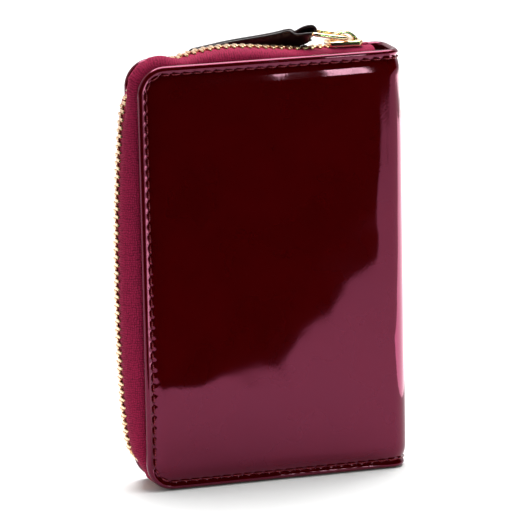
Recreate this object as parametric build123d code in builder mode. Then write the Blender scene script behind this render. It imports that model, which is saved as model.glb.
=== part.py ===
from build123d import *
import os
from math import cos, pi, radians, sin

# A compact round-zip wallet standing on its short edge: spine towards +X, zip round the
# top, the left side and the bottom, front leaf towards -Y. Millimetres, Z up, origin under
# the middle of the whole wallet at floor level.

# overall sizes
cover_width = 83.0        # left edge of a leaf to the outside of the spine
cover_height = 130.0
wallet_thickness = 17.0   # over both leaves, closed
corner_radius = 8.5       # the two zip-side corners of each leaf
spine_radius = 5.0        # outside radius where the leather turns round the spine

# layers of a leaf, from the outside in
skin_thickness = 1.0
board_thickness = 0.8
turned_thickness = 0.6    # skin turned in over the board, skived thin
tape_thickness = 0.6
lining_thickness = 0.5
turned_width = 7.0        # how far the turned edge reaches in
edge_roll = 0.8           # rounding of the rolled edge
lining_inset = 2.3
tape_inset = 0.6
tape_seat_inset = 0.9     # where the tape leaves the leaf, in from its edge
tape_end = 8.2            # tape ends this far short of the spine's outside
tape_turn = 1.3           # width over which the closed tape turns down into the leaf
tape_flat = 0.58          # share of the rest that lies level beside the teeth
tape_slope = 0.12         # share of the bulge the tape loses before it turns down

# stitching
stitch_inset = 2.6
stitch_pitch = 3.3
stitch_length = 2.5
thread_width = 0.5
thread_height = 0.4
groove_width = 0.8
groove_depth = 0.3

# zip chain
tooth_pitch = 2.45
tooth_thickness = 0.95
tooth_inner = 0.9         # height of a tooth below the tape's middle
tooth_outer = 1.1         # and above it
tooth_leg = 2.6           # from the chain's middle to the end of the legs
tooth_head = 0.85         # how far a head passes the chain's middle
tape_edge = 0.95          # tape edge from the chain's middle, inside the legs
stop_length = 1.2         # metal stops at the two ends of the chain
stop_width = 1.5
stop_wall = 0.4
slot_clearance = 0.12
side_bulge = 5.4          # how far the closed chain stands out on the left
top_bulge = 3.3
top_lean = 1.4            # above 1 the top of the chain is fullest towards the corner
side_fullness = 0.22      # below 1 the side bulge stays full towards its ends
side_lean = 1.25          # above 1 it is fullest towards its lower end
chain_at_slider = 0.5     # chain above the leaves' edge where the slider parks
corner_tuck = 1.5         # chain inside the leaves' outline at the corners
bottom_tuck = 2.4         # and along the bottom

# slider, ring and pull tab
slider_length = 10.4
slider_height = 4.4
slider_plate = 0.9
slider_tail = 3.5         # half width at the tail
slider_nose = 4.3
slider_wall = 0.75
slider_slot = 1.4
slider_setback = 16.5     # slider's middle from the spine's outside
bridge_width = 2.0
bridge_rise = 2.7
bridge_strap = 0.85
ring_reach = 11.0         # between the middles of the ring's two bars
ring_width = 10.2
ring_bar = 1.3
ring_tilt = 10.8
ring_lift = 0.25          # ring bar above the slider's top plate
tab_layer = 0.9
tab_width = 6.4
tab_length = 36.0
tab_droop = 2.0
tab_play = 0.2            # loop inside the fold of the tab round the bar

# inside
note_panel = 0.5
note_first = 8.0
note_margin = 6.0
card_panel = 0.6
card_panels = 4
card_step = 9.0
card_first = 14.0
card_margin = 7.0
pocket_wall = 0.8
pocket_first = 12.0
pocket_margin = 9.0
leaf_gap = 0.7            # free room between the card panels and the coin pocket
gusset_fold = 6.3
gusset_wall = 1.1

chain_proud = side_bulge + tooth_outer
left = -(cover_width - chain_proud) / 2
right = left + cover_width
half = wallet_thickness / 2
board_depth = skin_thickness + board_thickness
turned_depth = board_depth + turned_thickness
tape_depth = turned_depth + tape_thickness
leaf_depth = tape_depth + lining_thickness
inner_face = half - leaf_depth
pocket_front = -inner_face + note_panel + card_panels * card_panel + leaf_gap + pocket_wall
fold_start = right - spine_radius
chain_height = cover_height + chain_at_slider
slider_x = right - slider_setback
far = 2 * cover_width

os.makedirs("parts", exist_ok=True)


def save(part, label):
    part.label = label
    export_step(part, "parts/" + label + ".step")


# Plans and outlines of a leaf ------------------------------------------------------------

def leaf_plan(side, outer, inner, rounded):
    """Plan of a leaf's layer between two depths; side is -1 for the front, 1 for the back."""
    middle = (fold_start, side * (half - spine_radius))
    with BuildSketch() as plan:
        with BuildLine():
            out = Line((left - 1, side * (half - outer)), (fold_start, side * (half - outer)))
            inn = Line((left - 1, side * (half - inner)), (fold_start, side * (half - inner)))
            if rounded:
                round_out = CenterArc(middle, spine_radius - outer, side * 90, -side * 45)
                round_in = CenterArc(middle, spine_radius - inner, side * 90, -side * 45)
                Line(round_out @ 1, round_in @ 1)
            else:
                Line(out @ 1, inn @ 1)
            Line(out @ 0, inn @ 0)
        make_face()
    return plan.sketch


def leaf_outline(inset):
    """Outline of a leaf seen from the front, with its two zip-side corners round."""
    radius = max(corner_radius - inset, 0.5)
    low, high, edge = inset, cover_height - inset, left + inset
    with BuildSketch() as outline:
        with BuildLine():
            Line((far, high), (edge + radius, high))
            CenterArc((edge + radius, high - radius), radius, 90, 90)
            Line((edge, high - radius), (edge, low + radius))
            CenterArc((edge + radius, low + radius), radius, 180, 90)
            Line((edge + radius, low), (far, low))
            Line((far, low), (far, high))
        make_face()
    return outline.sketch


def leaf_slab(side, outer, inner, inset, rounded=True):
    """Solid layer of a leaf between two depths, its edge set in from the leaf's edge."""
    with BuildPart() as slab:
        with BuildSketch(Plane.XY):
            add(leaf_plan(side, outer, inner, rounded))
        extrude(amount=cover_height)
        with BuildSketch(Plane.XZ):
            add(leaf_outline(inset))
        extrude(amount=wallet_thickness, both=True, mode=Mode.INTERSECT)
    return slab.part


def spine_slab(outer, inner, inset, rounded=True):
    """Solid layer of the spine between two depths."""
    run = half - spine_radius
    with BuildPart() as slab:
        with BuildSketch(Plane.XY.offset(inset)):
            with BuildLine():
                out = Line((right - outer, -run), (right - outer, run))
                inn = Line((right - inner, -run), (right - inner, run))
                for side, end in ((-1, 0), (1, 1)):
                    if rounded:
                        middle = (fold_start, side * run)
                        round_out = CenterArc(middle, spine_radius - outer, 0, side * 45)
                        round_in = CenterArc(middle, spine_radius - inner, 0, side * 45)
                        Line(round_out @ 1, round_in @ 1)
                    else:
                        Line(out @ end, inn @ end)
            make_face()
        extrude(amount=cover_height - 2 * inset)
    return slab.part


def groove_ring(slab, depth):
    """Narrow band along the stitch line, made from a function that gives a layer."""
    outer_band = slab(0, depth, stitch_inset - groove_width / 2)
    inner_band = slab(0, depth, stitch_inset + groove_width / 2)
    with BuildPart() as ring:
        add(outer_band)
        add(inner_band, mode=Mode.SUBTRACT)
    return ring.part


# Leaves ------------------------------------------------------------------------------------

def leaf_pieces(side, name):
    sheet = leaf_slab(side, 0, turned_depth, 0)
    board_room = leaf_slab(side, skin_thickness, board_depth, skin_thickness)
    inner_room = leaf_slab(side, board_depth, turned_depth, turned_width)
    groove = groove_ring(lambda a, b, inset: leaf_slab(side, a, b, inset), groove_depth)

    with BuildPart() as cover:
        add(sheet)
        outer_face = cover.faces().sort_by(Axis.Y)[0 if side < 0 else -1]
        rim = outer_face.edges().sort_by(Axis.X)[:-1]
        fillet(rim, edge_roll)
        add(board_room, mode=Mode.SUBTRACT)
        add(inner_room, mode=Mode.SUBTRACT)
        add(groove, mode=Mode.SUBTRACT)
    save(cover.part, name + "_cover")

    save(leaf_slab(side, skin_thickness, board_depth, skin_thickness, rounded=False), name + "_board")
    save(leaf_slab(side, board_depth, tape_depth, turned_width, rounded=False), name + "_filler")
    save(leaf_slab(side, tape_depth, leaf_depth, lining_inset), name + "_lining")


# Spine -------------------------------------------------------------------------------------

def spine_pieces():
    sheet = spine_slab(0, turned_depth, 0)
    board_room = spine_slab(skin_thickness, board_depth, skin_thickness)
    inner_room = spine_slab(board_depth, turned_depth, turned_width)
    groove = groove_ring(spine_slab, groove_depth)
    with BuildPart() as cover:
        add(sheet)
        outer_faces = cover.faces().filter_by(Axis.Z, reverse=True).sort_by(Axis.X)[-3:]
        rim = outer_faces.edges().filter_by(Plane.XY)
        fillet(rim, edge_roll)
        add(board_room, mode=Mode.SUBTRACT)
        add(inner_room, mode=Mode.SUBTRACT)
        add(groove, mode=Mode.SUBTRACT)
    save(cover.part, "spine_cover")

    save(spine_slab(skin_thickness, board_depth, skin_thickness, rounded=False), "spine_board")
    save(spine_slab(board_depth, tape_depth, turned_width, rounded=False), "spine_filler")
    save(spine_slab(tape_depth, leaf_depth, lining_inset), "spine_lining")


# Rim path ----------------------------------------------------------------------------------

def rim_lengths(inset, end):
    radius = corner_radius - inset
    top = right - end - (left + corner_radius)
    side = cover_height - 2 * corner_radius
    return top, pi * radius / 2, side


def rim_frame(run, inset, end):
    """Point and outward normal on the leaf's outline, run along it from the spine's top end."""
    top, arc, side = rim_lengths(inset, end)
    radius = corner_radius - inset
    low, high = inset, cover_height - inset
    edge = left + inset
    if run < top:
        return right - end - run, high, 0.0, 1.0
    run -= top
    if run < arc:
        turn = run / radius
        centre = (edge + radius, high - radius)
        return centre[0] - radius * sin(turn), centre[1] + radius * cos(turn), -sin(turn), cos(turn)
    run -= arc
    if run < side:
        return edge, high - radius - run, -1.0, 0.0
    run -= side
    if run < arc:
        turn = run / radius
        centre = (edge + radius, low + radius)
        return centre[0] - radius * cos(turn), centre[1] - radius * sin(turn), -cos(turn), -sin(turn)
    run -= arc
    return edge + radius + run, low, 0.0, -1.0


def stitches(places, side, label):
    """Thread stitches lying in the groove of a leaf, at the given rim frames."""
    level = side * (half - groove_depth + thread_height / 2)
    spots = [Plane(origin=(x, level, z), x_dir=(nz, 0, -nx), z_dir=(0, 1, 0)).location
             for x, z, nx, nz in places]
    with BuildPart() as thread:
        with Locations(*spots):
            Box(stitch_length, thread_width, thread_height)
    save(thread.part, label)


def leaf_stitching(side, label):
    end = spine_radius + stitch_length
    top, arc, down = rim_lengths(stitch_inset, end)
    total = 2 * top + 2 * arc + down
    count = round(total / stitch_pitch)
    places = [rim_frame((k + 0.5) * total / count, stitch_inset, end) for k in range(count)]
    stitches(places, side, label)


def spine_stitching():
    run = wallet_thickness - 2 * spine_radius
    count = max(round(run / stitch_pitch), 1)
    level = right - groove_depth + thread_height / 2
    spots = [Location((level, (k + 0.5) * run / count - run / 2, z))
             for k in range(count) for z in (stitch_inset, cover_height - stitch_inset)]
    with BuildPart() as thread:
        with Locations(*spots):
            Box(thread_height, min(stitch_length, 0.8 * run / count), thread_width)
    save(thread.part, "spine_stitching")


# Zip tapes and teeth -----------------------------------------------------------------------

def chain_offset(run):
    """How far the closed chain stands outside the leaves' outline, run along that outline."""
    top, arc, side = rim_lengths(0, tape_end)
    parked = slider_setback + slider_length - tape_end
    if run <= parked:
        return chain_at_slider
    if run <= top:
        share = (run - parked) / (top - parked)
        ends = chain_at_slider * (1 - share) - corner_tuck * share
        return ends + top_bulge * sin(pi * share ** top_lean)
    if run <= top + arc:
        return -corner_tuck
    if run <= top + arc + side:
        share = (run - top - arc) / side
        return -corner_tuck + (side_bulge + corner_tuck) * sin(pi * share ** side_lean) ** side_fullness
    share = min((run - top - arc - side) / arc, 1)
    return -corner_tuck - (bottom_tuck - corner_tuck) * share


def rim_stations():
    """Places along the outline that the tape and the chain are drawn through."""
    top, arc, side = rim_lengths(0, tape_end)
    parked = slider_setback + slider_length - tape_end
    runs = [parked * k / 4 for k in range(5)]
    runs += [parked + (top - parked) * share for share in (0.2, 0.4, 0.6, 0.78, 0.91, 1)]
    runs += [top + arc / 2]
    runs += [top + arc + side * share for share in (0, 0.05, 0.12, 0.25, 0.5, 0.75, 0.88, 0.95, 1)]
    runs += [top + arc + side + arc / 2]
    runs += [top + 2 * arc + side + top * share for share in (0, 0.25, 0.5, 0.75, 1)]
    return runs


def rim_points(offset):
    """Points outside the outline by offset, a function of the run along it."""
    points = []
    for run in rim_stations():
        x, z, nx, nz = rim_frame(run, 0, tape_end)
        points.append((x + nx * offset(run), z + nz * offset(run)))
    return points


def tape_section(level, offset):
    """Section of the tape in a plane across the wallet."""
    with BuildSketch(Plane.XZ.offset(-level)) as section:
        with BuildLine():
            outer = Spline(*rim_points(lambda run: offset(run) + tape_thickness / 2))
            inner = Spline(*rim_points(lambda run: offset(run) - tape_thickness / 2))
            Line(outer @ 0, inner @ 0)
            Line(outer @ 1, inner @ 1)
        make_face()
    return section.sketch


def zip_tape(side, label):
    seam = leaf_slab(side, turned_depth, tape_depth, tape_inset, rounded=False)
    seam_room = leaf_slab(side, turned_depth, tape_depth, turned_width, rounded=False)
    shoulder = half - tape_depth - tape_turn
    levels = [
        (tape_edge, lambda run: chain_offset(run)),
        (tape_edge + tape_flat * (shoulder - tape_edge), lambda run: chain_offset(run)),
        (shoulder, lambda run: chain_offset(run) - tape_slope * (chain_offset(run) + 2)),
        (half - tape_depth + 0.1, lambda run: -tape_seat_inset),
    ]
    sections = [tape_section(side * level, offset) for level, offset in levels]
    with BuildPart() as tape:
        loft(sections, ruled=True)
        add(seam)
        add(seam_room, mode=Mode.SUBTRACT)
        split(bisect_by=Plane(origin=(right - tape_end, 0, 0), z_dir=(-1, 0, 0)))
    save(tape.part, label)


def chain_line():
    with BuildLine(Plane.XZ) as line:
        Spline(*rim_points(chain_offset))
    return line.edges()[0]


def chain_spot(chain, run):
    """Frame on the chain: x along it, z outwards, y towards the front leaf."""
    point = chain.position_at(run, position_mode=PositionMode.LENGTH)
    along = chain.tangent_at(run, position_mode=PositionMode.LENGTH)
    return Plane(origin=point, x_dir=along, z_dir=(along.Z, 0, -along.X)).location


def tooth(side):
    """One tooth with its head past the chain's middle and two legs that hold the tape."""
    bevel = 0.4
    gap = tape_thickness / 2 + slot_clearance
    outline = [
        (-tooth_head, -tooth_inner + bevel), (bevel - tooth_head, -tooth_inner),
        (tooth_leg, -tooth_inner), (tooth_leg, -gap), (tape_edge - slot_clearance, -gap),
        (tape_edge - slot_clearance, gap), (tooth_leg, gap), (tooth_leg, tooth_outer),
        (bevel - tooth_head, tooth_outer), (-tooth_head, tooth_outer - bevel),
    ]
    with BuildPart() as one:
        with BuildSketch(Plane.YZ):
            with BuildLine():
                Polyline(*[(-side * y, z) for y, z in outline], close=True)
            make_face()
        extrude(amount=tooth_thickness / 2, both=True)
    return one.part


def zip_teeth(side, label):
    chain = chain_line()
    first = slider_setback - tape_end + 0.6
    last = chain.length - slider_setback + tape_end
    shift = 0 if side < 0 else 0.5
    count = int((last - first) / tooth_pitch - shift)
    spots = [chain_spot(chain, first + (k + shift) * tooth_pitch) for k in range(count)]
    single = tooth(side)
    with BuildPart() as teeth:
        with Locations(*spots):
            add(single)
    save(teeth.part, label)


def top_stop(side, label):
    """Small metal clamp on the tape's edge that the slider runs up against."""
    gap = tape_thickness / 2 + slot_clearance
    inner = tape_edge - slot_clearance - stop_wall
    with BuildPart() as stop:
        with Locations((slider_x + stop_length, side * (inner + stop_width / 2), chain_height)):
            Box(stop_length, stop_width, tooth_outer + tooth_inner)
            with Locations((0, side * stop_wall, 0)):
                Box(stop_length, stop_width, 2 * gap, mode=Mode.SUBTRACT)
    save(stop.part, label)


def bottom_stop():
    """Metal bar clamped across both tapes at the closed lower end of the chain."""
    gap = tape_thickness / 2 + slot_clearance
    bridge = 2 * (tape_edge - slot_clearance)
    with BuildPart() as stop:
        with Locations((slider_x + 2 * stop_length, 0, bottom_tuck)):
            Box(2 * stop_length, bridge + 2 * stop_width, tooth_outer + tooth_inner)
            with Locations(*[(0, side * (bridge + stop_width) / 2, 0) for side in (-1, 1)]):
                Box(2 * stop_length, stop_width, 2 * gap, mode=Mode.SUBTRACT)
    save(stop.part, "zip_bottom_stop")


# Slider ------------------------------------------------------------------------------------

slider_top = chain_height + slider_height / 2
bar_height = slider_top + ring_lift + ring_bar / 2
bar_x = slider_x + 0.3


def slider_outline(wall, over):
    tail, nose = slider_tail - wall, slider_nose - wall
    reach = slider_length / 2 + over
    with BuildSketch() as outline:
        with BuildLine():
            Polyline((-reach, -tail), (reach, -nose), (reach, nose), (-reach, tail), close=True)
        make_face()
    return outline.sketch


def slider_body():
    room = slider_height - 2 * slider_plate
    with BuildPart() as body:
        with BuildSketch(Plane((slider_x, 0, chain_height))):
            add(slider_outline(0, 0))
        extrude(amount=slider_height / 2, both=True)
        fillet(body.edges().filter_by(Axis.Z), 1.2)
        fillet(body.faces().sort_by(Axis.Z)[-1].edges(), 0.4)
        with BuildSketch(Plane((slider_x, 0, chain_height))):
            add(slider_outline(slider_wall, 1))
        extrude(amount=room / 2, both=True, mode=Mode.SUBTRACT)
        with Locations((slider_x, 0, chain_height)):
            Box(2 * slider_length, 4 * slider_nose, slider_slot, mode=Mode.SUBTRACT)
        with BuildSketch(Plane((slider_x, 0, chain_height))):
            with BuildLine():
                nose = slider_length / 2
                Polyline((nose - 3.4, 0), (nose - 1.2, -0.75), (nose - 0.4, -0.4),
                         (nose - 0.4, 0.4), (nose - 1.2, 0.75), close=True)
            make_face()
        extrude(amount=slider_height / 2 - 0.1, both=True)
    save(body.part, "slider_body")


def slider_bridge():
    reach = 4.4
    with BuildPart() as bridge:
        with BuildSketch(Plane.XZ):
            with BuildLine():
                outer = ThreePointArc((slider_x - reach, slider_top),
                                      (slider_x, slider_top + bridge_rise),
                                      (slider_x + reach, slider_top))
                inner = ThreePointArc((slider_x - reach + 1.1, slider_top),
                                      (slider_x, slider_top + bridge_rise - bridge_strap),
                                      (slider_x + reach - 1.1, slider_top))
                Line(outer @ 0, inner @ 0)
                Line(outer @ 1, inner @ 1)
            make_face()
        extrude(amount=bridge_width / 2, both=True)
    save(bridge.part, "slider_bridge")


# Ring and pull tab -------------------------------------------------------------------------

def pull_ring():
    """Flat ring: one bar under the bridge, the other in the fold of the tab."""
    tilt = radians(ring_tilt)
    plane = Plane(origin=(bar_x, 0, bar_height), x_dir=(-cos(tilt), 0, sin(tilt)),
                  z_dir=(sin(tilt), 0, cos(tilt)))
    with BuildPart() as ring:
        with BuildSketch(plane):
            with Locations((ring_reach / 2, 0)):
                RectangleRounded(ring_reach + ring_bar, ring_width, 2.4)
                RectangleRounded(ring_reach - ring_bar, ring_width - 2 * ring_bar, 0.6,
                                 mode=Mode.SUBTRACT)
        extrude(amount=ring_bar / 2, both=True)
        fillet(ring.edges().filter_by(GeomType.LINE), 0.45)
    save(ring.part, "pull_ring")


fold_x = bar_x - ring_reach * cos(radians(ring_tilt))
fold_z = bar_height + ring_reach * sin(radians(ring_tilt))


def pull_tab():
    """Leather strap folded in two round the ring's outer bar."""
    droop = radians(tab_droop)
    lower = Plane(origin=(fold_x, 0, fold_z), x_dir=(-cos(droop), 0, -sin(droop)),
                  z_dir=(0, -1, 0))
    hole = ring_bar / 2 + tab_play
    around = hole + tab_layer
    neck = 2.2 * around
    with BuildPart() as tab:
        with BuildSketch(lower):
            Circle(around)
            with BuildLine():
                Polyline((0, around), (neck, tab_layer), (tab_length, tab_layer),
                         (tab_length, -tab_layer), (neck, -tab_layer), (0, -around), close=True)
            make_face()
            Circle(hole, mode=Mode.SUBTRACT)
        extrude(amount=tab_width / 2, both=True)
        ends = tab.edges().filter_by(lambda e: abs(e.length - 2 * tab_layer) < 0.01)
        fillet(ends.sort_by(Axis.X)[:2], 1.5)
    save(tab.part, "pull_tab")


def pull_tab_stitching():
    """Stitch rows along both sides of the tab, on its upper face."""
    droop = radians(tab_droop)
    upper = Plane(origin=(fold_x, 0, fold_z), x_dir=(-cos(droop), 0, -sin(droop)),
                  z_dir=(-sin(droop), 0, cos(droop))).offset(tab_layer)
    first, pitch, length = 6.0, 2.6, 2.0
    count = int((tab_length - first - 2) / pitch)
    with BuildPart() as thread:
        with BuildSketch(upper):
            for row in (-1, 1):
                with Locations(*[(first + k * pitch, row * (tab_width / 2 - 1.1)) for k in range(count)]):
                    Rectangle(length, 0.4)
        extrude(amount=0.25)
    save(thread.part, "pull_tab_stitching")


# Inside ------------------------------------------------------------------------------------

def note_pocket():
    """Full-height panel sewn to the front leaf's lining; folded notes go behind it."""
    near, far_edge = left + note_first, fold_start - 2
    with BuildPart() as panel:
        with BuildSketch(Plane.XZ.offset(inner_face)):
            with Locations(((near + far_edge) / 2, cover_height / 2)):
                Rectangle(far_edge - near, cover_height - 2 * note_margin)
        extrude(amount=-note_panel)
    save(panel.part, "note_pocket_panel")


def card_slots():
    """Stepped card panels on the front leaf; each mouth faces the zip side."""
    for k in range(card_panels):
        near = left + card_first + k * card_step
        far_edge = fold_start - 2
        level = -inner_face + note_panel + k * card_panel
        with BuildPart() as panel:
            with BuildSketch(Plane.XZ.offset(-level)):
                with Locations(((near + far_edge) / 2, cover_height / 2)):
                    Rectangle(far_edge - near, cover_height - 2 * card_margin)
            extrude(amount=-card_panel)
        save(panel.part, "card_panel_%d" % (k + 1))


def coin_pocket():
    """Open-mouthed coin pocket with folded gussets on the back leaf."""
    near = left + pocket_first
    base = right - pocket_margin
    low, high = pocket_margin, cover_height - pocket_margin
    middle = (pocket_front + inner_face) / 2

    with BuildPart() as panel:
        with BuildSketch(Plane.XZ.offset(-pocket_front)):
            with Locations(((near + base) / 2, cover_height / 2)):
                Rectangle(base - near, high - low)
        extrude(amount=pocket_wall)
    save(panel.part, "coin_pocket_panel")

    with BuildPart() as floor:
        with Locations((base - pocket_wall / 2, middle, cover_height / 2)):
            Box(pocket_wall, inner_face - pocket_front, high - low)
    save(floor.part, "coin_pocket_base")

    for edge, way, label in ((high, -1, "upper"), (low, 1, "lower")):
        fold = edge + way * gusset_fold
        with BuildPart() as gusset:
            with BuildSketch(Plane.YZ.offset(near)):
                with BuildLine():
                    Polyline((pocket_front, edge), (middle, fold), (inner_face, edge),
                             (inner_face, edge + way * gusset_wall),
                             (middle, fold + way * gusset_wall),
                             (pocket_front, edge + way * gusset_wall), close=True)
                make_face()
            extrude(amount=base - near - pocket_wall)
        save(gusset.part, "coin_gusset_" + label)


leaf_pieces(-1, "front")
leaf_pieces(1, "back")
spine_pieces()
leaf_stitching(-1, "front_stitching")
leaf_stitching(1, "back_stitching")
spine_stitching()
zip_tape(-1, "front_zip_tape")
zip_tape(1, "back_zip_tape")
zip_teeth(-1, "front_zip_teeth")
zip_teeth(1, "back_zip_teeth")
top_stop(-1, "front_top_stop")
top_stop(1, "back_top_stop")
bottom_stop()
slider_body()
slider_bridge()
pull_ring()
pull_tab()
pull_tab_stitching()
note_pocket()
card_slots()
coin_pocket()
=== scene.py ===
import bpy
import bmesh
from math import sin, cos, pi, radians, exp, sqrt
from mathutils import Vector, Matrix, kdtree


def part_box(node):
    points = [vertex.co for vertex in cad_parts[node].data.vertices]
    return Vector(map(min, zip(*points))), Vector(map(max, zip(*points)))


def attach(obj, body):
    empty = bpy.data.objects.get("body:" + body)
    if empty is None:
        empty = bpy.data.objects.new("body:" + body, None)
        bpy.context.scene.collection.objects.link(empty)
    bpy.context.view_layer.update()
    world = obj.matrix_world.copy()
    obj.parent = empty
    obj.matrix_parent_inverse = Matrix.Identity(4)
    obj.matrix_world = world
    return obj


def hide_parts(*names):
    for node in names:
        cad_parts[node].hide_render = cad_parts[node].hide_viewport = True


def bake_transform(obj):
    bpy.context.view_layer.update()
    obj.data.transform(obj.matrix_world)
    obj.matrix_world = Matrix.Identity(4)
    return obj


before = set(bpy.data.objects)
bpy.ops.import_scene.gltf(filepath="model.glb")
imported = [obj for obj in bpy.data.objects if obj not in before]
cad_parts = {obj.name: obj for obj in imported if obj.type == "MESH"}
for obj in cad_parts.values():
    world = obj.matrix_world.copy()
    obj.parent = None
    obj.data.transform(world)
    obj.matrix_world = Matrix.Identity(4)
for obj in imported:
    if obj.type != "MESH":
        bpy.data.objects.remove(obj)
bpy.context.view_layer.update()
mm = 0.001

frontLow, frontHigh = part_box("front_cover")
spineLow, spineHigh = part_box("spine_cover")
leafLeft = frontLow.x / mm
leafHeight = frontHigh.z / mm
halfThick = -frontLow.y / mm
spineOut = spineHigh.x / mm
spineRound = 5.0
foldStart = spineOut - spineRound
bendLength = spineRound * pi / 2


# Bench work: selecting, editing and finishing a piece

def clearSelection():
    if bpy.context.object and bpy.context.object.mode != "OBJECT":
        bpy.ops.object.mode_set(mode="OBJECT")
    bpy.ops.object.select_all(action="DESELECT")


def only(obj):
    clearSelection()
    obj.select_set(True)
    bpy.context.view_layer.objects.active = obj


def editMesh(obj):
    only(obj)
    bpy.ops.object.mode_set(mode="EDIT")
    bpy.ops.mesh.select_all(action="DESELECT")
    return bmesh.from_edit_mesh(obj.data)


def pickFaces(obj, test):
    mesh = editMesh(obj)
    bpy.context.tool_settings.mesh_select_mode = (False, False, True)
    for face in mesh.faces:
        face.select = test(face)
    mesh.select_flush_mode()
    bmesh.update_edit_mesh(obj.data)


def pickEdges(obj, test):
    mesh = editMesh(obj)
    bpy.context.tool_settings.mesh_select_mode = (False, True, False)
    for edge in mesh.edges:
        edge.select = test(edge)
    mesh.select_flush_mode()
    bmesh.update_edit_mesh(obj.data)


def objectMode():
    bpy.ops.object.mode_set(mode="OBJECT")


def applyAll(obj):
    only(obj)
    for modifier in list(obj.modifiers):
        bpy.ops.object.modifier_apply(modifier=modifier.name)


def settle(obj):
    only(obj)
    bpy.ops.object.transform_apply(location=True, rotation=True, scale=True)


def smooth(obj, angle=40):
    only(obj)
    bpy.ops.object.shade_smooth_by_angle(angle=radians(angle))


def mergeDoubles(obj, distance=0.00001):
    editMesh(obj)
    bpy.ops.mesh.select_all(action="SELECT")
    bpy.ops.mesh.remove_doubles(threshold=distance)
    bpy.ops.mesh.normals_make_consistent(inside=False)
    objectMode()


def joinAs(pieces, name):
    clearSelection()
    for piece in pieces:
        piece.select_set(True)
    bpy.context.view_layer.objects.active = pieces[0]
    bpy.ops.object.join()
    pieces[0].name = name
    pieces[0].data.name = name
    return pieces[0]


def copyOf(obj, name):
    twin = bpy.data.objects.new(name, obj.data.copy())
    bpy.context.scene.collection.objects.link(twin)
    return twin


def gridPiece(name, across, up):
    # a flat grid of across by up points, whose points are then laid out by rows
    clearSelection()
    bpy.ops.mesh.primitive_grid_add(x_subdivisions=across - 1, y_subdivisions=up - 1, size=2)
    obj = bpy.context.object
    obj.name = name
    obj.data.name = name
    return obj


def layGrid(obj, across, up, place):
    for vertex in obj.data.vertices:
        i = round((vertex.co.x + 1) / 2 * (across - 1))
        j = round((vertex.co.y + 1) / 2 * (up - 1))
        vertex.co = Vector(place(i, j)) * mm
    obj.data.update()


def turnOut(obj, test):
    # test says whether the first face already points outwards
    if not test(obj.data.polygons[len(obj.data.polygons) // 2]):
        only(obj)
        bpy.ops.object.mode_set(mode="EDIT")
        bpy.ops.mesh.select_all(action="SELECT")
        bpy.ops.mesh.flip_normals()
        objectMode()


# Finishes

def newFinish(name):
    finish = bpy.data.materials.new(name)
    finish.use_nodes = True
    shader = finish.node_tree.nodes["Principled BSDF"]
    return finish, finish.node_tree, shader


def addNode(tree, kind, **inputs):
    node = tree.nodes.new(kind)
    for key, value in inputs.items():
        node.inputs[key.replace("_", " ")].default_value = value
    return node


def objectPoints(tree, scale=(1, 1, 1)):
    coords = tree.nodes.new("ShaderNodeTexCoord")
    mapping = tree.nodes.new("ShaderNodeMapping")
    mapping.inputs["Scale"].default_value = scale
    tree.links.new(coords.outputs["Object"], mapping.inputs["Vector"])
    return mapping.outputs["Vector"]


def noiseFrom(tree, points, scale, detail=2.0, rough=0.5):
    noise = addNode(tree, "ShaderNodeTexNoise", Scale=scale, Detail=detail, Roughness=rough)
    tree.links.new(points, noise.inputs["Vector"])
    return noise.outputs["Fac"]


def rampBetween(tree, factor, low, high, lowAt=0.3, highAt=0.7):
    ramp = tree.nodes.new("ShaderNodeValToRGB")
    ramp.color_ramp.elements[0].position = lowAt
    ramp.color_ramp.elements[0].color = low
    ramp.color_ramp.elements[1].position = highAt
    ramp.color_ramp.elements[1].color = high
    tree.links.new(factor, ramp.inputs["Fac"])
    return ramp.outputs["Color"]


def spreadTo(tree, factor, low, high):
    spread = addNode(tree, "ShaderNodeMapRange", To_Min=low, To_Max=high)
    tree.links.new(factor, spread.inputs["Value"])
    return spread.outputs["Result"]


def bumpFrom(tree, height, strength, distance, under=None):
    bump = addNode(tree, "ShaderNodeBump", Strength=strength, Distance=distance)
    tree.links.new(height, bump.inputs["Height"])
    if under is not None:
        tree.links.new(under, bump.inputs["Normal"])
    return bump.outputs["Normal"]


patent = {
    "deep": (0.043, 0.0001, 0.0002, 1),
    "lit": (0.054, 0.0002, 0.0005, 1),
    "sheenTint": (1.0, 0.20, 0.42, 1),
    "index": 1.80,
    "roughLow": 0.035,
    "roughHigh": 0.075,
    "ripple": 0.0012,
}


def makePatent():
    finish, tree, shader = newFinish("patentLeather")
    points = objectPoints(tree)
    mottle = noiseFrom(tree, points, 55, 3)
    colour = rampBetween(tree, mottle, patent["deep"], patent["lit"])
    tree.links.new(colour, shader.inputs["Base Color"])
    haze = noiseFrom(tree, points, 160, 4)
    tree.links.new(spreadTo(tree, haze, patent["roughLow"], patent["roughHigh"]), shader.inputs["Roughness"])
    shader.inputs["IOR"].default_value = patent["index"]
    shader.inputs["Specular Tint"].default_value = patent["sheenTint"]
    ripple = bumpFrom(tree, noiseFrom(tree, points, 42, 1), 0.35, patent["ripple"])
    grain = bumpFrom(tree, noiseFrom(tree, points, 1500, 2), 0.05, 0.00006, ripple)
    tree.links.new(grain, shader.inputs["Normal"])
    return finish


weave = {
    "light": (0.36, 0.010, 0.062, 1),
    "dark": (0.10, 0.002, 0.016, 1),
    "ribsPerMetre": 1700,
    "roughness": 0.7,
    "sheen": 0.06,
}


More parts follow.
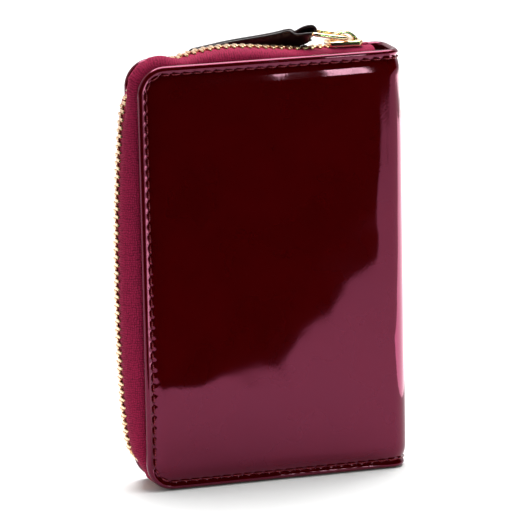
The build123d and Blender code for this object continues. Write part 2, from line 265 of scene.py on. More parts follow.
def makeTapeWeave():
    # woven tape: ribs along its run and across it, on the piece's own map
    finish, tree, shader = newFinish("wovenTape")
    coords = tree.nodes.new("ShaderNodeTexCoord")
    ribs = []
    for turned, scale in ((0, weave["ribsPerMetre"]), (radians(90), weave["ribsPerMetre"] * 0.8)):
        mapping = tree.nodes.new("ShaderNodeMapping")
        mapping.inputs["Rotation"].default_value = (0, 0, turned)
        tree.links.new(coords.outputs["UV"], mapping.inputs["Vector"])
        rib = addNode(tree, "ShaderNodeTexWave", Scale=scale * 0.314, Distortion=7.0, Detail=2.0)
        tree.links.new(mapping.outputs["Vector"], rib.inputs["Vector"])
        ribs.append(rib.outputs["Fac"])
    both = tree.nodes.new("ShaderNodeMath")
    both.operation = "MULTIPLY"
    tree.links.new(ribs[0], both.inputs[0])
    tree.links.new(ribs[1], both.inputs[1])
    points = objectPoints(tree)
    blotch = noiseFrom(tree, points, 1500, 2, 0.7)
    mixed = tree.nodes.new("ShaderNodeMath")
    mixed.operation = "ADD"
    tree.links.new(both.outputs[0], mixed.inputs[0])
    tree.links.new(blotch, mixed.inputs[1])
    colour = rampBetween(tree, mixed.outputs[0], weave["dark"], weave["light"], 0.3, 0.95)
    tree.links.new(colour, shader.inputs["Base Color"])
    shader.inputs["Roughness"].default_value = weave["roughness"]
    shader.inputs["Specular IOR Level"].default_value = 0.12
    shader.inputs["Sheen Weight"].default_value = weave["sheen"]
    shader.inputs["Sheen Tint"].default_value = (1.0, 0.5, 0.6, 1)
    fold = bumpFrom(tree, noiseFrom(tree, points, 260, 2), 0.35, 0.0006)
    tree.links.new(bumpFrom(tree, both.outputs[0], 0.5, 0.00012, fold), shader.inputs["Normal"])
    return finish


def makeMetal(name, bright, worn, roughness):
    finish, tree, shader = newFinish(name)
    points = objectPoints(tree)
    tone = noiseFrom(tree, points, 700, 3)
    tree.links.new(rampBetween(tree, tone, worn, bright, 0.25, 0.6), shader.inputs["Base Color"])
    shader.inputs["Metallic"].default_value = 1.0
    tree.links.new(spreadTo(tree, noiseFrom(tree, points, 1400, 2), roughness * 0.7, roughness * 1.4),
                   shader.inputs["Roughness"])
    tree.links.new(bumpFrom(tree, noiseFrom(tree, points, 2600, 2), 0.12, 0.00005), shader.inputs["Normal"])
    return finish


def makeLeather(name, deep, lit, roughness, grainScale, grainDepth):
    # grained leather: pores from a cell pattern, creases from noise
    finish, tree, shader = newFinish(name)
    points = objectPoints(tree)
    tree.links.new(rampBetween(tree, noiseFrom(tree, points, 90, 4), deep, lit), shader.inputs["Base Color"])
    tree.links.new(spreadTo(tree, noiseFrom(tree, points, 300, 3), roughness * 0.8, roughness * 1.2),
                   shader.inputs["Roughness"])
    pores = addNode(tree, "ShaderNodeTexVoronoi", Scale=grainScale)
    pores.feature = "DISTANCE_TO_EDGE"
    tree.links.new(points, pores.inputs["Vector"])
    crease = bumpFrom(tree, noiseFrom(tree, points, grainScale * 0.3, 3), 0.2, grainDepth * 2)
    pitted = bumpFrom(tree, pores.outputs["Distance"], 0.5, grainDepth, crease)
    tree.links.new(pitted, shader.inputs["Normal"])
    return finish


def makeThread(name, deep, lit):
    # twisted thread: fine slanting bands, whose lit tone is a painted highlight along the twist
    finish, tree, shader = newFinish(name)
    points = objectPoints(tree)
    twist = addNode(tree, "ShaderNodeTexWave", Scale=900.0, Distortion=1.5)
    twist.bands_direction = "DIAGONAL"
    tree.links.new(points, twist.inputs["Vector"])
    tree.links.new(rampBetween(tree, twist.outputs["Fac"], deep, lit, 0.2, 0.8), shader.inputs["Base Color"])
    shader.inputs["Roughness"].default_value = 0.38
    shader.inputs["Specular Tint"].default_value = (1.0, 0.45, 0.5, 1)
    tree.links.new(bumpFrom(tree, twist.outputs["Fac"], 0.6, 0.0001), shader.inputs["Normal"])
    return finish


patentLeather = makePatent()
tapeWeave = makeTapeWeave()
zipMetal = makeMetal("zipMetal", (0.95, 0.66, 0.42, 1), (0.62, 0.36, 0.17, 1), 0.24)
sliderMetal = makeMetal("sliderMetal", (1.0, 0.78, 0.50, 1), (0.80, 0.52, 0.26, 1), 0.17)
strapLeather = makeLeather("strapLeather", (0.006, 0.0006, 0.0010, 1), (0.014, 0.0020, 0.003, 1),
                           0.36, 900, 0.00006)
liningLeather = makeLeather("liningLeather", (0.055, 0.004, 0.010, 1), (0.095, 0.008, 0.020, 1),
                            0.45, 1100, 0.00005)
pocketLeather = makeLeather("pocketLeather", (0.070, 0.003, 0.009, 1), (0.110, 0.007, 0.018, 1),
                            0.38, 1300, 0.00004)
boardFinish = makeLeather("boardFinish", (0.30, 0.24, 0.17, 1), (0.42, 0.34, 0.25, 1), 0.8, 500, 0.00004)
fillerFinish = makeLeather("fillerFinish", (0.10, 0.03, 0.03, 1), (0.16, 0.05, 0.05, 1), 0.8, 700, 0.00006)
# the rim thread's bright lit tone is a painted highlight on the stitches
rimThread = makeThread("rimThread", (0.075, 0.002, 0.004, 1), (0.30, 0.030, 0.045, 1))
strapThread = makeThread("strapThread", (0.016, 0.004, 0.005, 1), (0.05, 0.02, 0.022, 1))
print("finishes ready")


# Leaf skin: one sheet from the zip edge round to the middle of the spine

leafSkin = {
    "cornerRadius": 8.5,
    "rollRadius": 1.2,
    "rollSteps": 8,
    "turnedIn": (6.0, 4.2, 2.6),       # rows of the turned-in edge, in from the rim
    "faceRows": (1.5, 1.85, 2.15, 2.4, 2.6, 2.8, 3.05, 3.4, 3.9, 4.6, 5.5, 6.6, 7.6, 8.5),
    "columnPitch": 0.66,
    "wall": 0.6,
    "seamInset": 2.6,
    "seamDip": 0.10,
    "seamWidth": 0.75,
    "holeDip": 0.34,
    "holeWidth": 0.62,
    "padding": 0.82,                   # how far the panel rises from the seam
    "proud": 0.36,                     # and how much of that is outside the leaf's flat face
    "crown": 0.3,
    "spineEase": 0.13,                 # the panel starts to fall away this much before the bend
    "easeReach": 4.5,
    "endEase": 0.5,                    # the spine's two ends are drawn in this much
    "endReach": 1.2,
    "spineWaist": 0.8,
    "waistHeight": 120.0,
    "waistSpread": 9.0,
}


def profileRows():
    roll = leafSkin["rollRadius"]
    rows = [(inset, 2 * roll) for inset in leafSkin["turnedIn"]]
    steps = leafSkin["rollSteps"]
    for k in range(steps + 1):
        turn = pi * k / steps - pi / 2
        rows.append((roll - roll * cos(turn), roll - roll * sin(turn)))
    rows += [(inset, 0.0) for inset in leafSkin["faceRows"]]
    return rows


def smoothStep(low, high, value):
    share = min(max((value - low) / (high - low), 0), 1)
    return share * share * (3 - 2 * share)


def wrapRound(along, depth, side, height):
    # along is measured flat from the zip side; past the fold it goes round the spine
    waist = leafSkin["spineWaist"] * exp(-((height - leafSkin["waistHeight"]) / leafSkin["waistSpread"]) ** 2)
    toEnd = max(min(height, leafHeight - height), 0)
    waist += leafSkin["endEase"] * exp(-(toEnd / leafSkin["endReach"]) ** 2)
    past = along - foldStart
    if past <= 0:
        return along, side * (halfThick - depth), height
    if past <= bendLength:
        turn = past / spineRound
        x = foldStart + (spineRound - depth) * sin(turn)
        y = halfThick - spineRound + (spineRound - depth) * cos(turn)
        return x - waist * sin(turn) ** 2, side * y, height
    y = halfThick - spineRound - (past - bendLength)
    return spineOut - depth - waist, side * y, height


def wholeRun():
    return foldStart + bendLength + halfThick - spineRound


def seamFrames(inset, pitch):
    # centres and directions of the stitches on a leaf, from mid-spine top round to mid-spine bottom
    radius = leafSkin["cornerRadius"] - inset
    straight = wholeRun() - leafLeft - leafSkin["cornerRadius"]
    arc = pi * radius / 2
    down = leafHeight - 2 * leafSkin["cornerRadius"]
    total = 2 * straight + 2 * arc + down
    count = round(total / pitch)
    frames = []
    for k in range(2 * count + 1):
        run = k * total / count / 2
        if run > straight + arc + down / 2:
            mirror, run = True, total - run
        else:
            mirror = False
        if run <= straight:
            u, z, way = wholeRun() - run, leafHeight - inset, 0.0
        elif run <= straight + arc:
            way = (run - straight) / radius
            u = leafLeft + leafSkin["cornerRadius"] - radius * sin(way)
            z = leafHeight - leafSkin["cornerRadius"] + radius * cos(way)
        else:
            u, way = leafLeft + inset, pi / 2
            z = leafHeight - leafSkin["cornerRadius"] - (run - straight - arc)
        if mirror:
            z, way = leafHeight - z, -way
        frames.append((u, z, way))
    return frames[1::2], frames[0::2]     # stitches, and the holes between them


stitchFrames, stitchHoles = seamFrames(leafSkin["seamInset"], 3.3)


def makeLeafSkin(side, name):
    rows = profileRows()
    last = len(rows) - 1
    radius = leafSkin["cornerRadius"]
    corner = leafLeft + radius
    flat = round((foldStart - corner) / leafSkin["columnPitch"])
    columns = [inset + leafLeft for inset, depth in rows]
    columns += [corner + (foldStart - corner) * (k + 1) / flat for k in range(flat)]
    columns += [foldStart + bendLength * (k + 1) / 14 for k in range(14)]
    columns += [foldStart + bendLength + (halfThick - spineRound) * (k + 1) / 5 for k in range(5)]
    upright = round((leafHeight - 2 * radius) / leafSkin["columnPitch"])
    heights = [inset for inset, depth in rows]
    heights += [radius + (leafHeight - 2 * radius) * (k + 1) / upright for k in range(upright)]
    heights += [leafHeight - inset for inset, depth in reversed(rows[:-1])]
    across, up = len(columns), len(heights)
    holes = kdtree.KDTree(len(stitchHoles))
    for k, (u, z, way) in enumerate(stitchHoles):
        holes.insert((u, z, 0), k)
    holes.balance()

    def relief(u, z, inset):
        seam = leafSkin["seamInset"]
        slope = smoothStep(seam - 0.3, seam + 5.0, inset)
        sink = leafSkin["padding"] * (1 - slope) ** 2 - leafSkin["proud"]
        sink *= smoothStep(0.9, 2.2, inset)
        sink += leafSkin["seamDip"] * exp(-((inset - seam) / leafSkin["seamWidth"]) ** 2)
        near = holes.find((u, z, 0))[2]
        sink += leafSkin["holeDip"] * exp(-(near / leafSkin["holeWidth"]) ** 2)
        middle = (leafLeft + foldStart) / 2
        reach = min(max(1 - ((u - middle) / (foldStart - middle)) ** 2, 0), 1)
        tall = 1 - ((z - leafHeight / 2) / (leafHeight / 2)) ** 2
        ease = smoothStep(foldStart - leafSkin["easeReach"], foldStart + 1, u)
        ease *= 1 - smoothStep(foldStart, foldStart + bendLength * 0.7, u)
        return sink - leafSkin["crown"] * reach * max(tall, 0) ** 0.7 + leafSkin["spineEase"] * ease

    def place(i, j):
        low, high = j, up - 1 - j
        rowIndex = min(low, high)
        if i < last and rowIndex < last:
            ring = min(i, rowIndex)
            inset, depth = rows[ring]
            if i <= rowIndex:
                share = (rowIndex - ring) / (last - ring)
                turn = pi / 4 * (1 - share)
            else:
                share = (i - ring) / (last - ring)
                turn = pi / 4 * (1 + share)
            u = corner - (radius - inset) * cos(turn)
            z = radius - (radius - inset) * sin(turn)
            if high < low:
                z = leafHeight - z
        elif i < last:
            inset, depth = rows[i]
            u, z = leafLeft + inset, heights[j]
        elif rowIndex < last:
            inset, depth = rows[rowIndex]
            u, z = columns[i], heights[j]
        else:
            inset, depth = radius, 0.0
            u, z = columns[i], heights[j]
        if depth < leafSkin["rollRadius"] and inset >= leafSkin["rollRadius"] * 0.7:
            depth += relief(u, z, inset)
        return wrapRound(u, depth, side, z)

    skin = gridPiece(name, across, up)
    layGrid(skin, across, up, place)
    mergeDoubles(skin)
    turnOut(skin, lambda face: face.normal.y * side > 0)
    wall = skin.modifiers.new("wall", "SOLIDIFY")
    wall.thickness = leafSkin["wall"] * mm
    wall.offset = -1
    applyAll(skin)
    smooth(skin, 50)
    skin.data.materials.append(patentLeather)
    return skin


frontSkin = makeLeafSkin(-1, "frontSkin")
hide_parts("front_cover", "spine_cover")
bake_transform(frontSkin)
backSkin = makeLeafSkin(1, "backSkin")
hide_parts("back_cover")
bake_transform(backSkin)
print("leaf skins sewn up")


# Stitches: one is modelled, then copied into every place

stitch = {
    "length": 2.6,
    "thick": 0.38,
    "dive": 0.36,        # how far its ends go down into the holes
    "lift": 0.14,
}


def makeOneStitch(length, thick, dive):
    clearSelection()
    bpy.ops.mesh.primitive_cylinder_add(vertices=7, radius=thick / 2 * mm, depth=length * mm,
                                        rotation=(0, pi / 2, 0))
    thread = bpy.context.object
    settle(thread)
    for place in (-0.42, -0.25, 0.0, 0.25, 0.42):
        editMesh(thread)
        bpy.ops.mesh.select_all(action="SELECT")
        bpy.ops.mesh.bisect(plane_co=(place * length * mm, 0, 0), plane_no=(1, 0, 0))
        objectMode()
    for vertex in thread.data.vertices:
        share = abs(vertex.co.x) / (length * mm / 2)
        thin = 1 - 0.5 * max(share - 0.6, 0) / 0.4
        vertex.co.y *= thin
        vertex.co.z = vertex.co.z * thin - dive * mm * share ** 3
    smooth(thread, 60)
    return thread


def scatter(pattern, places, name, finish):
    copies = []
    for k, spot in enumerate(places):
        twin = copyOf(pattern, name + str(k))
        twin.data.transform(spot)
        copies.append(twin)
    made = joinAs(copies, name)
    made.data.materials.clear()
    made.data.materials.append(finish)
    return made


def wrapFrame(u, z, way, depth, side):
    # matrix with X along the seam and Z out of the leather
    here = Vector(wrapRound(u, depth, side, z))
    step = 0.05
    ahead = Vector(wrapRound(u - step * cos(way), depth, side, z - step * sin(way)))
    along = (ahead - here).normalized()
    outer = Vector(wrapRound(u, depth - 1, side, z))
    out = (outer - here)
    out = (out - along * out.dot(along)).normalized()
    across = out.cross(along)
    turn = Matrix((along, across, out)).transposed().to_4x4()
    return Matrix.Translation(here * mm) @ turn


def makeRimStitches(side, name):
    pattern = makeOneStitch(stitch["length"], stitch["thick"], stitch["dive"])
    depth = leafSkin["padding"] - leafSkin["proud"] + leafSkin["seamDip"]
    depth -= stitch["lift"] + stitch["thick"] / 2
    places = [wrapFrame(u, z, way, depth, side) for u, z, way in stitchFrames]
    made = scatter(pattern, places, name, rimThread)
    bpy.data.objects.remove(pattern)
    return made


frontStitches = makeRimStitches(-1, "frontRimStitches")
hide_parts("front_stitching", "spine_stitching")
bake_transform(frontStitches)
backStitches = makeRimStitches(1, "backRimStitches")
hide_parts("back_stitching")
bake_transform(backStitches)
print("rim stitches laid")


# Zip chain: the line the closed teeth follow round the leaves

chain = {
    "tapeEnd": 8.2,
    "atSlider": 0.5,
    "cornerTuck": 1.5,
    "bottomTuck": 2.4,
    "topBulge": 3.3,
    "topLean": 1.4,
    "sideBulge": 5.4,
    "sideFullness": 0.22,
    "sideLean": 1.25,
    "parked": 18.7,       # straight run beside the spine where the slider rests
}


def rimRuns():
    radius = leafSkin["cornerRadius"]
    top = spineOut - chain["tapeEnd"] - leafLeft - radius
    return top, pi * radius / 2, leafHeight - 2 * radius


def chainOffset(run):
    top, arc, down = rimRuns()
    tuck = chain["cornerTuck"]
    if run <= chain["parked"]:
        return chain["atSlider"]
    if run <= top:
        share = (run - chain["parked"]) / (top - chain["parked"])
        ends = chain["atSlider"] * (1 - share) - tuck * share
        return ends + chain["topBulge"] * sin(pi * share ** chain["topLean"])
    if run <= top + arc:
        return -tuck
    if run <= top + arc + down:
        share = (run - top - arc) / down
        swell = max(sin(pi * share ** chain["sideLean"]), 0) ** chain["sideFullness"]
        return -tuck + (chain["sideBulge"] + tuck) * swell
    share = min((run - top - arc - down) / arc, 1)
    return -tuck - (chain["bottomTuck"] - tuck) * share


def rimPlace(run):
    # point on the leaves' outline and its outward direction
    top, arc, down = rimRuns()
    radius = leafSkin["cornerRadius"]
    if run < top:
        return spineOut - chain["tapeEnd"] - run, leafHeight, 0.0, 1.0
    run -= top
    if run < arc:
        turn = run / radius
        return (leafLeft + radius - radius * sin(turn), leafHeight - radius + radius * cos(turn),
                -sin(turn), cos(turn))
    run -= arc
    if run < down:
        return leafLeft, leafHeight - radius - run, -1.0, 0.0
    run -= down
    if run < arc:
        turn = run / radius
        return (leafLeft + radius - radius * cos(turn), radius - radius * sin(turn),
                -cos(turn), -sin(turn))
    return leafLeft + radius + run - arc, 0.0, 0.0, -1.0


def easedOffset(run):
    # the chain can't kink, so its line is eased over a few millimetres
    reach = 2.4
    total = 2 * rimRuns()[0] + 2 * rimRuns()[1] + rimRuns()[2]
    spots = [min(max(run + reach * k / 3, 0), total) for k in range(-3, 4)]
    return sum(chainOffset(spot) for spot in spots) / len(spots)


def chainPoint(run, lift=0.0):
    x, z, nx, nz = rimPlace(run)
    offset = easedOffset(run) + lift
    return Vector((x + nx * offset, 0, z + nz * offset))


# Zip tapes: woven strip from the teeth over the shoulder into the leaf's edge

tape = {
    "step": 1.1,
    "thick": 0.55,
    "edge": 0.95,
    "level": 2.4,            # level part beside the teeth ends here, out from the middle
    "seat": 5.75,
    "seatInset": 1.2,
    "tuckedIn": 4.2,
    "flatWidth": 13.0,
    "pucker": 0.24,
    "puckerPitch": 3.4,
    "finePitch": 2.3,
    "cornerRidge": 4.1,      # at the corners the folded tape stands over the teeth
    "lowerRidge": 0.5,       # share of that at the lower corner
    "backRidge": 0.1,        # and on the back tape
    "ridgeFrom": 1.2,        # it rises between these two distances from the chain's middle
    "ridgeTo": 3.4,
    "ridgeMiddle": 0.4,      # share of the corner's arc where it is highest
    "ridgeNear": 3.5,        # full height as far as this along the tape, none past ridgeFar
    "ridgeFar": 13.5,
}


def makeTape(side, name):
    top, arc, down = rimRuns()
    total = 2 * top + 2 * arc + down
    up = round(total / tape["step"]) + 1
    turned = 11
    across = 3 + turned + 2

    def cornerShare(run):
        middle = tape["ridgeMiddle"]
        near = min(abs(run - top - arc * middle), abs(run - top - arc * (2 - middle) - down))
        return 1 - smoothStep(tape["ridgeNear"], tape["ridgeFar"], near)

    def ridgeAt(run, z):
        rise = tape["backRidge"]
        if side < 0:
            rise = 1 if z > leafHeight / 2 else tape["lowerRidge"]
        return tape["cornerRidge"] * cornerShare(run) * rise

    def place(i, j):
        run = total * j / (up - 1)
        x, z, nx, nz = rimPlace(run)
        level = easedOffset(run)
        seat = -tape["seatInset"]
        ridge = ridgeAt(run, z)
        if i < 3:
            y = tape["edge"] + (tape["level"] - tape["edge"]) * i / 3
            offset = level + ridge * smoothStep(tape["ridgeFrom"], tape["ridgeTo"], y)
        elif i < 3 + turned:
            turn = pi / 2 * (i - 3) / (turned - 1)
            y = tape["level"] + (tape["seat"] - tape["level"]) * sin(turn)
            offset = seat + (level - seat) * cos(turn) ** 0.8 if turn < 1.56 else seat
            offset += ridge * smoothStep(tape["ridgeFrom"], tape["ridgeTo"], y) * cos(turn)
            wave = sin(2 * pi * run / tape["puckerPitch"]) + 0.5 * sin(2 * pi * run / tape["finePitch"] + 1)
            offset += tape["pucker"] * cornerShare(run) * wave * sin(turn) * cos(turn) * 1.6
        else:
            y = tape["seat"]
            offset = seat - (tape["tuckedIn"] - tape["seatInset"]) * (i - 2 - turned) / 2
        # at the lower corner it lies flat on what the wallet stands on
        return x + nx * offset, side * y, max(z + nz * offset, tape["thick"] / 2)

    strip = gridPiece(name, across, up)
    layGrid(strip, across, up, place)
    uv = strip.data.uv_layers.active or strip.data.uv_layers.new(name="tapeMap")
    length, width = total * mm, tape["flatWidth"] * mm
    for loop in strip.data.loops:
        point = uv.data[loop.index].uv
        uv.data[loop.index].uv = (point[0] * width, point[1] * length)
    turnOut(strip, lambda face: face.normal.dot(Vector((face.center.x, 0, face.center.z - 0.065))) > 0)
    wall = strip.modifiers.new("wall", "SOLIDIFY")
    wall.thickness = tape["thick"] * mm
    wall.offset = 0
    applyAll(strip)
    smooth(strip, 60)
    strip.data.materials.append(tapeWeave)
    return strip


frontTape = makeTape(-1, "frontTape")
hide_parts("front_zip_tape")
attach(frontTape, "front_leaf")
backTape = makeTape(1, "backTape")
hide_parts("back_zip_tape")
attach(backTape, "back_leaf")
print("tapes folded")


# Zip teeth: head past the middle, two legs over the tape's edge

tooth = {
    "pitch": 2.45,
    "wide": 1.05,
    "head": 0.85,
    "leg": 2.7,
    "rise": 1.1,
    "drop": 0.9,
    "slot": 0.34,
    "round": 0.16,
    "firstAt": 8.9,        # along the chain from its upper end
    "lastBefore": 8.3,     # and this far short of the lower end
}


def makeOneTooth(side):
    # a bar across the chain whose outer end is slotted for the tape
    clearSelection()
    bpy.ops.mesh.primitive_cube_add(size=1)
    one = bpy.context.object
    for vertex in one.data.vertices:
        vertex.co.x *= tooth["wide"] * mm
        vertex.co.y = (-tooth["head"] if vertex.co.y < 0 else tape["edge"] - 0.15) * mm
        vertex.co.z = (-tooth["drop"] if vertex.co.z < 0 else tooth["rise"]) * mm
    for height in (-tooth["slot"], tooth["slot"]):
        editMesh(one)
        bpy.ops.mesh.select_all(action="SELECT")
        bpy.ops.mesh.bisect(plane_co=(0, 0, height * mm), plane_no=(0, 0, 1))
        objectMode()
    pickFaces(one, lambda face: face.normal.y > 0.9 and abs(face.calc_center_median().z) > tooth["slot"] * mm)
    bpy.ops.mesh.extrude_region_move(
        TRANSFORM_OT_translate={"value": (0, (tooth["leg"] - tape["edge"] + 0.15) * mm, 0)})
    objectMode()
    # legs narrow a little towards the tape, and the head is drawn to a nib
    for vertex in one.data.vertices:
        if vertex.co.y > 2 * mm:
            vertex.co.x *= 0.82
            if abs(vertex.co.z) > 0.5 * mm:
                vertex.co.z *= 0.8
        if vertex.co.y < -0.5 * mm:
            vertex.co.x *= 0.86
            vertex.co.z *= 0.86
    pickEdges(one, lambda edge: edge.calc_face_angle(0) > 1.0
              and abs((edge.verts[0].co.z + edge.verts[1].co.z) / 2) > tooth["slot"] * 1.3 * mm)
    bpy.ops.mesh.bevel(offset=tooth["round"] * mm, segments=1)
    objectMode()
    if side < 0:
        for vertex in one.data.vertices:
            vertex.co.y = -vertex.co.y
        mergeDoubles(one)
    smooth(one, 32)
    return one


def chainTable():
    top, arc, down = rimRuns()
    total = 2 * top + 2 * arc + down
    steps = 2600
    table, length, before = [], 0.0, None
    for k in range(steps + 1):
        run = total * k / steps
        here = chainPoint(run)
        if before is not None:
            length += (here - before).length
        table.append((length, run))
        before = here
    return table


chainLengths = chainTable()


def runAt(length):
    low, high = 0, len(chainLengths) - 1
    while high - low > 1:
        middle = (low + high) // 2
        if chainLengths[middle][0] < length:
            low = middle
        else:
            high = middle
    (a, runA), (b, runB) = chainLengths[low], chainLengths[high]
    return runA + (runB - runA) * (length - a) / max(b - a, 0.0001)


def toothFrame(length):
    run = runAt(length)
    here = chainPoint(run)
    along = (chainPoint(run + 0.3) - chainPoint(run - 0.3)).normalized()
    across = Vector((0, 1, 0))
    out = along.cross(across)
    if out.dot(chainPoint(run, 1) - here) < 0:
        along, out = -along, -out
    turn = Matrix((along, across, out)).transposed().to_4x4()
    return Matrix.Translation(here * mm) @ turn


def makeTeeth(side, name):
    pattern = makeOneTooth(side)
    first, last = tooth["firstAt"], chainLengths[-1][0] - tooth["lastBefore"]
    shift = 0 if side < 0 else 0.5
    count = int((last - first) / tooth["pitch"] - shift)
    places = [toothFrame(first + (k + shift) * tooth["pitch"]) for k in range(count)]
    made = scatter(pattern, places, name, zipMetal)
    bpy.data.objects.remove(pattern)
    return made


frontTeeth = makeTeeth(-1, "frontTeeth")
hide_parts("front_zip_teeth")
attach(frontTeeth, "front_leaf")
backTeeth = makeTeeth(1, "backTeeth")
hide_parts("back_zip_teeth")
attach(backTeeth, "back_leaf")
print("teeth clamped on:", len(frontTeeth.data.polygons))


# Hard fittings and flat panels that keep the shape of their CAD node

def workedFrom(node, name, finish, body, roundEdge, segments=2, angle=30):
    # the node's own shape, merged, with its edges rounded over
    source = bpy.data.objects[node]
    made = copyOf(source, name)
    made.parent = None
    made.hide_render = False
    made.hide_viewport = False
    mergeDoubles(made, 0.000005)
    editMesh(made)
    bpy.ops.mesh.select_all(action="SELECT")
    bpy.ops.mesh.dissolve_limited(angle_limit=radians(1.5))
    objectMode()
    softened = made.modifiers.new("softened", "BEVEL")
    softened.width = roundEdge * mm
    softened.segments = segments
    softened.limit_method = "ANGLE"
    softened.angle_limit = radians(angle)
    softened.harden_normals = False
    applyAll(made)
    smooth(made, 35)
    made.data.materials.clear()
    made.data.materials.append(finish)
    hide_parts(node)
    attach(made, body)
    return made


def makePanel(node, name, finish, body, corner, roundEdge):
    # flat cut panel with rounded corners and a soft edge, as large as its node
    low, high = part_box(node)
    clearSelection()
    bpy.ops.mesh.primitive_cube_add(size=1, location=(low + high) / 2, scale=high - low)
    made = bpy.context.object
    made.name = name
    made.data.name = name
    settle(made)
    thin = min(range(3), key=lambda k: (high - low)[k])
    pickEdges(made, lambda edge: abs((edge.verts[0].co - edge.verts[1].co)[thin]) > 0.9 * (high - low)[thin])
    bpy.ops.mesh.bevel(offset=corner * mm, segments=6)
    objectMode()
    pickEdges(made, lambda edge: edge.calc_face_angle(0) > 1.2)
    bpy.ops.mesh.bevel(offset=roundEdge * mm, segments=2)
    objectMode()
    smooth(made, 35)
    made.data.materials.append(finish)
    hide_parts(node)
    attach(made, body)
    return made


workedFrom("slider_body", "sliderBody", sliderMetal, "slider", 0.22)
workedFrom("slider_bridge", "sliderBridge", sliderMetal, "slider", 0.3, 3)
workedFrom("zip_bottom_stop", "bottomStop", zipMetal, "back_leaf", 0.12)
workedFrom("front_top_stop", "frontTopStop", zipMetal, "front_leaf", 0.1)
workedFrom("back_top_stop", "backTopStop", zipMetal, "back_leaf", 0.1)
makePanel("note_pocket_panel", "notePanel", pocketLeather, "front_leaf", 3, 0.15)
for number in range(1, 5):
    makePanel("card_panel_%d" % number, "cardPanel%d" % number, pocketLeather,
              "front_leaf", 2.5, 0.18)
makePanel("coin_pocket_panel", "coinPanel", pocketLeather, "back_leaf", 2.5, 0.25)
makePanel("coin_pocket_base", "coinBase", pocketLeather, "back_leaf", 0.25, 0.08)
workedFrom("coin_gusset_upper", "coinGussetUpper", liningLeather, "back_leaf", 0.12)
workedFrom("coin_gusset_lower", "coinGussetLower", liningLeather, "back_leaf", 0.12)


panelSeam = {
    "pitch": 2.9,
    "length": 2.1,
    "thick": 0.32,
    "dive": 0.16,
    "proud": 0.02,
    "inset": 1.6,
}


def sewPanel(node, name, facing, body, allSides):
    # rows of stitches along a panel's top and bottom, and down its spine side if allSides
    low, high = (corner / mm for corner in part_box(node))
    pattern = makeOneStitch(panelSeam["length"], panelSeam["thick"], panelSeam["dive"])
    face = (high.y if facing > 0 else low.y) + facing * panelSeam["proud"]
    inset, pitch = panelSeam["inset"], panelSeam["pitch"]
    spots = []
    count = int((high.x - low.x - 2 * inset) / pitch)
    for z in (low.z + inset, high.z - inset):
        spots += [(Vector((low.x + inset + (k + 0.5) * pitch, face, z)), Vector((1, 0, 0)))
                  for k in range(count)]
    if allSides:
        count = int((high.z - low.z - 4 * inset) / pitch)
        spots += [(Vector((high.x - inset, face, low.z + 2 * inset + (k + 0.5) * pitch)), Vector((0, 0, 1)))
                  for k in range(count)]
    out = Vector((0, facing, 0))
    places = []
    for spot, along in spots:
        turn = Matrix((along, out.cross(along), out)).transposed().to_4x4()
        places.append(Matrix.Translation(spot * mm) @ turn)
    made = scatter(pattern, places, name, rimThread)
    bpy.data.objects.remove(pattern)
    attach(made, body)


sewPanel("coin_pocket_panel", "coinPanelStitches", -1, "back_leaf", True)
sewPanel("note_pocket_panel", "notePanelStitches", 1, "front_leaf", False)
for number in range(1, 5):
    sewPanel("card_panel_%d" % number, "cardStitches%d" % number, 1, "front_leaf", number == 4)
print("fittings and panels done")


# Linings: thin sheet inside each leaf, going round inside the spine

lining = {
    "inset": 2.3,
    "depth": 3.0,
    "wall": 0.5,
    "corner": 6.2,
}


def makeLining(side, name):
    inset, corner = lining["inset"], lining["corner"]
    left = leafLeft + inset
    columns = [left + corner * (1 - cos(pi / 2 * k / 6)) for k in range(7)]
    columns += [left + corner + (foldStart - left - corner) * (k + 1) / 24 for k in range(24)]
    columns += [foldStart + bendLength * (k + 1) / 12 for k in range(12)]
    columns += [wholeRun() - (halfThick - spineRound) * (3 - k) / 4 for k in range(4)]
    up, across = 60, len(columns)

    def place(i, j):
        u = columns[i]
        reach = leafHeight / 2 - inset
        if u < left + corner:
            slip = left + corner - u
            reach -= corner - sqrt(max(corner ** 2 - slip ** 2, 0))
        return wrapRound(u, lining["depth"], side, leafHeight / 2 + reach * (2 * j / (up - 1) - 1))

    sheet = gridPiece(name, across, up)
    layGrid(sheet, across, up, place)
    turnOut(sheet, lambda face: face.normal.y * side < 0)
    wall = sheet.modifiers.new("wall", "SOLIDIFY")
    wall.thickness = lining["wall"] * mm
    wall.offset = 1
    applyAll(sheet)
    smooth(sheet, 50)
    sheet.data.materials.append(liningLeather)
    return sheet


frontLining = makeLining(-1, "frontLining")
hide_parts("front_lining", "spine_lining")
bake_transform(frontLining)
backLining = makeLining(1, "backLining")
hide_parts("back_lining")
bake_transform(backLining)
for node, finish in (("front_board", boardFinish), ("back_board", boardFinish), ("spine_board", boardFinish),
                     ("front_filler", fillerFinish), ("back_filler", fillerFinish),
                     ("spine_filler", fillerFinish)):
    inside = bpy.data.objects[node]
    inside.data.materials.clear()
    inside.data.materials.append(finish)
    for link in inside.material_slots:
        link.material = finish
print("linings in")


# Ring: round bar bent to a rounded rectangle, one side under the bridge

sliderLow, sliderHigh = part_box("slider_body")
ring = {
    "barX": (sliderLow.x + sliderHigh.x) / 2 / mm + 0.3,
    "barZ": sliderHigh.z / mm + 0.9,
    "reach": 11.0,
    "width": 8.9,
    "bar": 1.3,
    "tilt": 10.8,
    "corner": 1.9,
}
ringTilt = radians(ring["tilt"])
ringAlong = Vector((-cos(ringTilt), 0, sin(ringTilt)))
foldPoint = Vector((ring["barX"], 0, ring["barZ"])) + ringAlong * ring["reach"]


